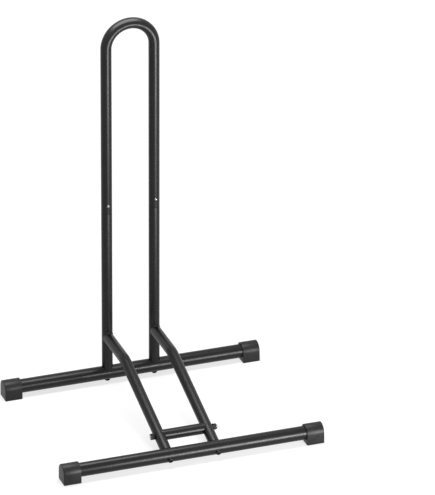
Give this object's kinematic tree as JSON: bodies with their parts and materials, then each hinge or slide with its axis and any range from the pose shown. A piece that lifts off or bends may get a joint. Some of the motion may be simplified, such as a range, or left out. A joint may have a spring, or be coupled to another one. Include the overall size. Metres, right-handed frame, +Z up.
{
  "type": "floor bike rack",
  "caption": "Free-standing floor rack for one bicycle wheel: tall tube hoop on a low H-shaped base of steel tubes with plastic foot caps.",
  "frame": {"origin": "on the floor, midway between the two base tubes and midway along them", "axes": "+Z up, +X along the base tubes to the right seen from the front, +Y from the front base tube towards the hoop"},
  "size_m": [0.49, 0.3698, 0.719],
  "materials": {
    "powder_coat": "semi-gloss black powder coat on steel tube",
    "cap_plastic": "fine-grained black moulded plastic",
    "black_steel": "black oxide steel fasteners",
    "zinc_plate": "bright zinc-plated steel",
    "spring_steel": "plain spring steel strip"
  },
  "bodies": {
    "rack": {"rear_base_tube": "powder_coat", "front_base_tube": "powder_coat", "rear_foot_cap_left": "cap_plastic", "rear_foot_cap_right": "cap_plastic", "front_foot_cap_left": "cap_plastic", "front_foot_cap_right": "cap_plastic", "post_left": "powder_coat", "post_right": "powder_coat", "wheel_hoop": "powder_coat", "post_plug_left": "zinc_plate", "post_plug_right": "zinc_plate", "rear_bolt_left": "black_steel", "rear_bolt_right": "black_steel", "snap_spring_left": "spring_steel", "snap_spring_right": "spring_steel", "arm_left": "powder_coat", "arm_right": "powder_coat", "arm_plug_left": "zinc_plate", "arm_plug_right": "zinc_plate", "front_bolt_left": "black_steel", "front_bolt_right": "black_steel", "crossbar": "powder_coat", "crossbar_rod": "zinc_plate", "crossbar_washer_left": "black_steel", "crossbar_washer_right": "black_steel", "crossbar_nut_left": "black_steel", "crossbar_nut_right": "black_steel"},
    "left_button": {"snap_button_left": "zinc_plate"},
    "right_button": {"snap_button_right": "zinc_plate"}
  },
  "joints": [
    {"name": "left_button_press", "type": "slide", "parent": "rack", "child": "left_button", "axis": [0, 1, 0], "range_m": [0, 0.0038], "stiffness_N_per_m": 1500, "springref_m": -0.003, "deforming": ["snap_spring_left"]},
    {"name": "right_button_press", "type": "slide", "parent": "rack", "child": "right_button", "axis": [0, 1, 0], "range_m": [0, 0.0038], "stiffness_N_per_m": 1500, "springref_m": -0.003, "deforming": ["snap_spring_right"]}
  ]
}
